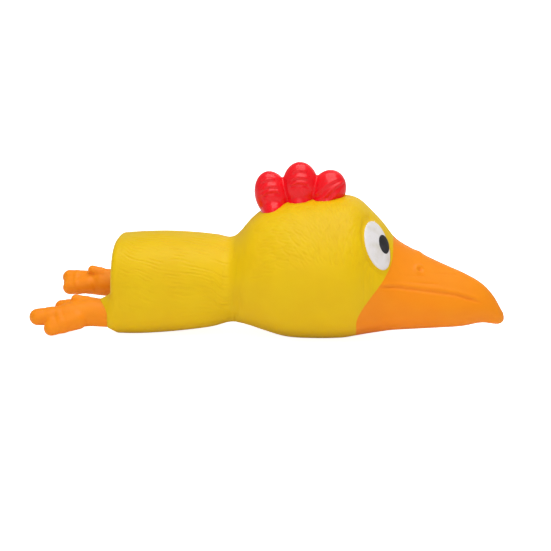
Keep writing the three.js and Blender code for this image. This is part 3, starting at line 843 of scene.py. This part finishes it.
# ---- Operators --------------------------------------------------------------------------------------
class CHICKEN_OT_stage(bpy.types.Operator):
    """Lay the pale floor, hang the soft lights and place the camera"""

    bl_idname = "chicken.stage"
    bl_label = "Stage"

    def execute(self, context):
        size = 12.0
        floor = new_object(
            "floor", [(-1000 * size, -1000 * size, -0.02), (1000 * size, -1000 * size, -0.02),
                      (1000 * size, 1000 * size, -0.02), (-1000 * size, 1000 * size, -0.02)],
            [(0, 1, 2, 3)], opal_acrylic("backlit_opal_acrylic", context.scene.chicken_colours.floor[:]))
        middle = Vector((-0.004, 0, 0.02))
        for name, place, width, watts in (
            ("overhead_softbox", (0.05, -0.2, 0.95), 0.9, 6.6),
            ("front_softbox", (-0.15, -1.05, 0.55), 0.9, 2.6),
            ("back_softbox", (0.3, 0.9, 0.6), 0.9, 1.2),
        ):
            lamp = bpy.data.lights.new(name, "AREA")
            lamp.shape = "SQUARE"
            lamp.size = width
            lamp.energy = watts
            holder = bpy.data.objects.new(name, lamp)
            holder.location = place
            holder.rotation_euler = (middle - Vector(place)).to_track_quat("-Z", "Y").to_euler()
            context.scene.collection.objects.link(holder)
        world = bpy.data.worlds.new("soft_studio")
        world.use_nodes = True
        world.node_tree.nodes["Background"].inputs["Color"].default_value = (1, 1, 1, 1)
        world.node_tree.nodes["Background"].inputs["Strength"].default_value = 0.34
        context.scene.world = world
        context.scene.view_settings.view_transform = "Standard"
        self.place_camera(context)
        return {"FINISHED"}

    def place_camera(self, context):
        """A long lens near the chicken's right side, a little above it."""
        azimuth = math.radians(4)
        elevation = math.radians(12.5)
        roll = math.radians(1.1)
        target = Vector((-10.1, 0, 23.9)) * MM
        back = Vector((
            math.sin(azimuth) * math.cos(elevation), -math.cos(azimuth) * math.cos(elevation),
            math.sin(elevation)))
        level = Vector((math.cos(azimuth), math.sin(azimuth), 0))
        upright = back.cross(level)
        right = level * math.cos(roll) + upright * math.sin(roll)
        up = upright * math.cos(roll) - level * math.sin(roll)
        camera = bpy.data.cameras.new("studio_camera")
        camera.lens = 114.3
        camera.sensor_width = 36
        holder = bpy.data.objects.new("studio_camera", camera)
        turn = Matrix((right, up, back)).transposed().to_4x4()
        holder.matrix_world = Matrix.Translation(target + back * 0.7) @ turn
        context.scene.collection.objects.link(holder)
        context.scene.camera = holder


class CHICKEN_OT_skin(bpy.types.Operator):
    """Mould the yellow skin and the orange beak, divided where they bend"""

    bl_idname = "chicken.skin"
    bl_label = "Skin and beak"

    def execute(self, context):
        grid = skin_grid(context.scene.chicken_sizes)
        marks = grid[3]
        yellow = material_named("moulded_yellow_latex")
        orange = material_named("painted_orange_latex")
        above = self.upper_half(grid, marks[1], marks[2])
        torso = rows_between(grid, 0, marks[2]) & ~above
        torso = grid_piece("torso_shell", grid, torso, yellow)
        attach(torso, "torso")
        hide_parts("torso_skin")
        back = grid_piece("back_whole", grid, above, yellow)
        self.divide_back(back, yellow)
        neck = rows_between(grid, marks[2], marks[3])
        neck = grid_piece("neck_skin", grid, neck, yellow)
        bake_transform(neck)
        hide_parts("neck_sleeve")
        nape = rows_between(grid, marks[3], marks[4])
        nape = grid_piece("nape_skin", grid, nape, yellow)
        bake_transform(nape)
        head = rows_between(grid, marks[4], marks[5])
        head = grid_piece("head_shell", grid, head, yellow)
        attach(head, "head")
        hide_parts("head_skin")
        beak = grid_piece("beak_shell", grid, rows_between(grid, marks[5], len(grid[0]) - 1),
                          orange)
        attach(beak, "head")
        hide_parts("beak_skin")
        return {"FINISHED"}

    def upper_half(self, grid, first, last):
        """The quads over the back, from side wall to side wall."""
        keep = rows_between(grid, first, last)
        heights = grid[0][..., 2]
        column = np.arange(grid[0].shape[1])
        side = int(np.argmin(np.abs(heights[(first + last) // 2, :SKIN_ROUND // 4] - 22)))
        return keep & ((column >= side) & (column < SKIN_ROUND // 2 - side))[None, :]

    def divide_back(self, whole, material):
        """Four triangular fields round the soft spot."""
        normals = np.array([tuple(loop.vector) for loop in whole.data.corner_normals])
        corner = np.array([loop.vertex_index for loop in whole.data.loops])
        shared = np.zeros((len(whole.data.vertices), 3))
        shared[corner] = normals
        whole.data.attributes.new("shape_normal", "FLOAT_VECTOR", "POINT").data.foreach_set(
            "vector", shared.astype(np.float32).ravel())
        centre = Vector((SPOT_X * MM, 0, 0))
        for name, direction in (
            ("front", Vector((1, 0, 0))), ("rear", Vector((-1, 0, 0))),
            ("right", Vector((0, -1, 0))), ("left", Vector((0, 1, 0))),
        ):
            field = bmesh.new()
            field.from_mesh(whole.data)
            for turn in (-math.pi / 4, math.pi / 4):
                edge = Matrix.Rotation(turn, 3, "Z") @ direction
                bmesh.ops.bisect_plane(
                    field, geom=field.verts[:] + field.edges[:] + field.faces[:], dist=1e-7,
                    plane_co=centre, plane_no=edge, clear_inner=True)
            mesh = bpy.data.meshes.new(f"back_{name}")
            field.to_mesh(mesh)
            field.free()
            mesh.shade_smooth()
            stored = np.zeros(len(mesh.vertices) * 3, np.float32)
            mesh.attributes["shape_normal"].data.foreach_get("vector", stored)
            stored = stored.reshape(-1, 3)
            stored /= np.maximum(np.linalg.norm(stored, axis=1, keepdims=True), 1e-9)
            mesh.normals_split_custom_set_from_vertices(stored.tolist())
            mesh.materials.clear()
            mesh.materials.append(material)
            piece = bpy.data.objects.new(f"back_{name}", mesh)
            bpy.context.scene.collection.objects.link(piece)
            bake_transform(piece)
            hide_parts("back_panel")
        bpy.data.objects.remove(whole)


class CHICKEN_OT_eyes(bpy.types.Operator):
    """Paint the whites and pupils onto the domes at the sides of the head"""

    bl_idname = "chicken.eyes"
    bl_label = "Eyes"

    def execute(self, context):
        film = context.scene.chicken_sizes.paint_film / MM
        ground = self.ground()
        for side, word in ((-1, "right"), (1, "left")):
            white = self.patch(
                f"eye_{word}", ground, side, (EYE_X, EYE_Z), (EYE_HALF_WIDTH, EYE_HALF_HEIGHT), film,
                material_named("painted_eye_white"), "eye_white_paint")
            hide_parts(f"eye_white_{word}")
            pupil = self.patch(
                f"pupil_dot_{word}", ground, side, (PUPIL_X, PUPIL_Z),
                (PUPIL_HALF_WIDTH, PUPIL_HALF_HEIGHT), 2.2 * film,
                material_named("painted_pupil_black"), "pupil_paint")
            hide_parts(f"pupil_{word}")
        return {"FINISHED"}

    def ground(self):
        """The head and beak as one surface to cast rays on."""
        points = []
        faces = []
        for name in ("head_shell", "beak_shell"):
            mesh = bpy.data.objects[name].data
            first = len(points)
            faces += [tuple(first + index for index in polygon.vertices) for polygon in mesh.polygons]
            points += [tuple(vertex.co) for vertex in mesh.vertices]
        return BVHTree.FromPolygons(points, faces)

    def patch(self, name, ground, side, centre, halves, film, material, slot):
        """An oval film of paint that follows the head, thick in the middle and sunk at its rim."""
        rings, around = 26, 110
        points = []
        for i in range(rings + 1):
            share = (i + 0.02) / rings
            for a in np.linspace(0, 2 * math.pi, around, endpoint=False):
                ahead = halves[0] * share * math.cos(a)
                above = halves[1] * share * math.sin(a)
                x = centre[0] + ahead * math.cos(EYE_LEAN) - above * math.sin(EYE_LEAN)
                z = centre[1] + ahead * math.sin(EYE_LEAN) + above * math.cos(EYE_LEAN)
                start = Vector((x, side * 60, z)) * MM
                hit, normal, _, _ = ground.ray_cast(start, Vector((0, -side, 0)))
                if hit is None:
                    raise RuntimeError(f"{name} doesn't lie on the head")
                if normal.y * side < 0:
                    normal.negate()
                height = film * (1 - 1.6 * max(0.0, share - 0.93) / 0.07)
                points.append(tuple((hit + normal * height * MM) / MM))
        faces = [quad[::side] for quad in ring_faces(rings + 1, around, capped=False)]
        piece = new_object(name, points, faces, material)
        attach(piece, "head")
        return piece


class CHICKEN_OT_comb(bpy.types.Operator):
    """Mould the three lobes of the comb with their wrinkles"""

    bl_idname = "chicken.comb"
    bl_label = "Comb"

    # Each lobe: middle x, lift over the crown, half length, half height, lean and foot half width.
    lobes = (
        (-12.0, 4.1, 6.9, 9.7, -0.27, 8.4),
        (-0.9, 5.0, 7.2, 9.6, -0.05, 6.4),
        (10.2, 2.3, 6.9, 8.4, 0.35, 6.2),
    )

    def execute(self, context):
        parts = []
        thickness = box_mm("comb")[1][1]
        for x, lift, length, height, lean, foot in self.lobes:
            crown = float(np.interp(x, LINE_X, LINE_SIZES[:, 0]))
            parts.append(egg((x, 0, crown + lift), (length, thickness + 0.9, height), lean))
            parts.append(egg((x - 4 * lean, 0, crown - 2.2), (length - 1.4, foot, 6.0), 0.3 * lean))
        points, faces, normals = fused("comb_lobes", parts, 0.36, 5)
        wrinkle = context.scene.chicken_sizes.comb_wrinkle / MM
        relief = sum(self.wrinkles(points, lobe, index) for index, lobe in enumerate(self.lobes))
        points = points + normals * relief[:, None] * wrinkle
        comb = new_object(
            "comb_lobes", points, faces, material_named("painted_red_latex"))
        joint = JOINTS["comb_flex"]
        rise = Vector(joint["axis"]).cross(Vector((0, 1, 0))).normalized()
        if rise.z < 0:
            rise.negate()
        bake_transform(comb)
        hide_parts("comb")
        return {"FINISHED"}

    def wrinkles(self, points, lobe, index):
        """Raised arcs across the top of a lobe, and slanting ones on the front lobe."""
        x, lift, length, height, lean, _ = lobe
        crown = float(np.interp(x, LINE_X, LINE_SIZES[:, 0]))
        ahead = points[:, 0] - x
        above = points[:, 2] - (crown + lift)
        along = ahead * math.cos(lean) - above * math.sin(lean)
        up = ahead * math.sin(lean) + above * math.cos(lean)
        relief = np.zeros(len(points))
        if index < 2:
            for level, width in ((height - 2.6, 2.0), (height - 5.2, 2.5), (height - 7.2, 2.8)):
                arc = up - level + 0.09 * along**2
                window = 1 - smoothstep(np.abs(along), width, width + 1.3)
                relief += (hill(arc, 0.5) - 0.6 * hill(arc + 1.05, 0.5)) * window
            return relief
        for offset in (-2.3, 0.1, 2.5):
            slant = along * math.sin(0.9) - up * math.cos(0.9) - offset + 0.6 * np.sin(0.45 * up)
            window = (1 - smoothstep(np.abs(up - 1), 4.2, 6.4)) * (1 - smoothstep(np.abs(along), 3.6, 5))
            relief += 0.8 * (hill(slant, 0.55) - 0.6 * hill(slant - 1.1, 0.5)) * window
        return relief


class CHICKEN_OT_feet(bpy.types.Operator):
    """Mould and paint the two trailing feet"""

    bl_idname = "chicken.feet"
    bl_label = "Feet"

    # Toes run between two distances from the ankle: back, outward and up, then the two radii.
    right_toes = (
        ((0, 0, 0), (-9, 1.5, -1.3), 5.6, 5.0),
        ((-5, 3.4, -2), (-14.6, 6.9, -5.3), 4.4, 3.1),
        ((-8, 2, -1), (-20.7, 3.6, -1.8), 4.3, 3.4),
        ((-8, 3, -2.4), (-14.5, 5, -3.4), 4.0, 3.0),
        ((-6, -2, 1.2), (-12.4, -3.4, 1), 3.7, 2.8),
        ((4, -1, 2.4), (-6.4, -1.8, 4.7), 3.0, 2.0),
    )
    left_toes = (
        ((0, 0, 0), (-7, 0.6, -0.6), 5.6, 4.6),
        ((-6, 3, -1.4), (-12.2, 5, -1.6), 3.9, 3.1),
        ((-7, 1, 0.4), (-13.8, 1.6, 1.3), 4.1, 3.1),
        ((-5, -2.2, -0.6), (-13, -2.8, -2), 3.8, 3.0),
        ((-6, -0.8, -0.6), (-13.4, -0.8, -0.4), 4.0, 2.7),
        ((4, -1, 2.4), (-3.8, -1.8, 5.4), 3.0, 2.0),
    )

    def execute(self, context):
        for side, word, toes in ((-1, "right", self.right_toes), (1, "left", self.left_toes)):
            ankle = joint_mm(f"{word}_ankle")
            rods = [rounded_rod(ankle + [7.5, 0, 0], ankle, 5.7, 5.6)]
            for start, end, thick, thin in toes:
                rods.append(rounded_rod(
                    ankle + [start[0], side * start[1], start[2]],
                    ankle + [end[0], side * end[1], end[2]], thick, thin))
            points, faces, normals = fused(f"{word}_toes", rods, 0.3, 18)
            relief = self.creases(points, ankle, side, toes)
            points = points + normals * relief[:, None]
            points[:, 2] = np.maximum(points[:, 2], 0.02)
            foot = new_object(
                f"{word}_toes", points, faces, material_named("painted_orange_latex"),
                relief=relief)
            start = ankle + [3.5, 0, 0]
            end = ankle - [4.5, 0, 0]
            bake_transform(foot)
            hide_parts(f"foot_{word}")
        return {"FINISHED"}

    def creases(self, points, ankle, side, toes):
        """A soft ridge along each toe and small folds across its knuckles."""
        relief = np.zeros(len(points))
        for start, end, thick, thin in toes[1:]:
            first = ankle + [start[0], side * start[1], start[2]]
            last = ankle + [end[0], side * end[1], end[2]]
            way = last - first
            length = np.linalg.norm(way)
            way = way / length
            run = (points - first) @ way
            away = np.linalg.norm(points - first - run[:, None] * way, axis=1)
            near = (1 - smoothstep(away, thick, thick + 1.6)) * (run > 0) * (run < length + thin)
            for knuckle in (0.45, 0.78):
                relief -= 0.06 * hill(run - knuckle * length, 0.5) * near
            relief += 0.12 * hill(run - 0.6 * length, 1.3) * near
        return relief


class CHICKEN_OT_filling(bpy.types.Operator):
    """Stuff the head and torso with loose fibre"""

    bl_idname = "chicken.filling"
    bl_label = "Filling"

    def execute(self, context):
        for name, node, body, start in (
            ("head_filling", "head_stuffing", "head", HEAD_FILLING_START_X),
            ("torso_filling", "torso_stuffing", "torso", box_mm("torso_stuffing")[0][0]),
        ):
            low, high = box_mm(node)
            t = np.linspace(start, high[0], 70)
            angle = 2 * np.pi * np.arange(120) / 120
            x = t[:, None] + 0 * angle
            points = np.stack([x, *section(x, angle[None, :], FILLING_DEPTH)], axis=-1)
            share = np.linspace(-1, 1, len(t))[:, None]
            close = np.sqrt(np.clip(1 - np.abs(share) ** 8, 0.0004, 1))
            middle = points.mean(axis=1, keepdims=True)
            points = middle + (points - middle) * close[..., None]
            tuft = wander(points[..., 0] / 3, points[..., 2] / 3 + 20 * (points[..., 1] > 0), 61)
            tuft += 0.5 * wander(points[..., 1] / 1.4 + 9, points[..., 2] / 1.4, 62)
            points = points + grid_normals(points) * (tuft[..., None] - 1.1) * 0.9
            piece = new_object(
                name, points.reshape(-1, 3), ring_faces(len(t), len(angle)),
                material_named("polyester_fibre"))
            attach(piece, body)
            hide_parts(node)
            if body == "torso":
                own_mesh(piece)
        return {"FINISHED"}


class CHICKEN_OT_squeaker(bpy.types.Operator):
    """Finish the squeaker in the rear face and its reed"""

    bl_idname = "chicken.squeaker"
    bl_label = "Squeaker"

    def execute(self, context):
        plastic = material_named("moulded_polyethylene")
        flange = SQUEAKER_FLANGE_RADIUS
        body = flange - 1.6
        bore = body - 1.2
        depth = SQUEAKER_HIGH[0] - REAR_X
        profile = [
            (0.15, 1.5), (-1.3, 1.5), (-1.45, 1.65), (-1.45, 2.6), (-1.25, 2.8),
            (-1.25, 4.6), (-1.45, 4.8), (-1.45, flange - 0.7),
            (-1.38, flange - 0.35), (-1.15, flange - 0.1), (-0.9, flange),
            (-0.6, flange - 0.03), (-0.4, flange - 0.25), (-0.36, flange - 0.5), (-0.36, body),
            (depth, body), (depth, bore), (0.15, bore), (0.15, 1.5),
        ]
        points, faces = lathe(profile, (REAR_X, 0, SQUEAKER_Z))
        housing = new_object("squeaker_cup", points, faces, plastic)
        crease = housing.modifiers.new("Edges", "BEVEL")
        crease.width = 0.08 * MM
        crease.segments = 2
        crease.limit_method = "ANGLE"
        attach(housing, "torso")
        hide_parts("squeaker_housing")
        for node, material in (
            ("squeaker_cap", plastic), ("reed_block", plastic), ("reed_clamp", plastic),
            ("reed", material_named("rolled_brass")),
        ):
            for slot in frame["nodes"][node].material_slots:
                slot.material = material
        return {"FINISHED"}


class CHICKEN_PT_workshop(bpy.types.Panel):
    """Lists the steps that make the chicken"""

    bl_idname = "CHICKEN_PT_workshop"
    bl_label = "Squeaky chicken"
    bl_space_type = "VIEW_3D"
    bl_region_type = "UI"
    bl_category = "Chicken"

    def draw(self, context):
        for operator in OPERATORS:
            self.layout.operator(operator.bl_idname)
        for settings in (context.scene.chicken_sizes, context.scene.chicken_colours):
            box = self.layout.box()
            for key in type(settings).__annotations__:
                box.prop(settings, key)


OPERATORS = (
    CHICKEN_OT_stage, CHICKEN_OT_skin, CHICKEN_OT_eyes, CHICKEN_OT_comb, CHICKEN_OT_feet,
    CHICKEN_OT_filling, CHICKEN_OT_squeaker,
)
CLASSES = (ChickenSizes, ChickenColours, *OPERATORS, CHICKEN_PT_workshop)


def register():
    """Adds the classes and the scene's settings."""
    for cls in CLASSES:
        bpy.utils.register_class(cls)
    bpy.types.Scene.chicken_sizes = bpy.props.PointerProperty(type=ChickenSizes)
    bpy.types.Scene.chicken_colours = bpy.props.PointerProperty(type=ChickenColours)


def unregister():
    """Takes them away again."""
    del bpy.types.Scene.chicken_sizes
    del bpy.types.Scene.chicken_colours
    for cls in reversed(CLASSES):
        bpy.utils.unregister_class(cls)


def main():
    """Makes the whole chicken."""
    register()
    bpy.ops.chicken.stage()
    bpy.ops.chicken.skin()
    bpy.ops.chicken.eyes()
    bpy.ops.chicken.comb()
    bpy.ops.chicken.feet()
    bpy.ops.chicken.filling()
    bpy.ops.chicken.squeaker()


if __name__ == "__main__":
    main()
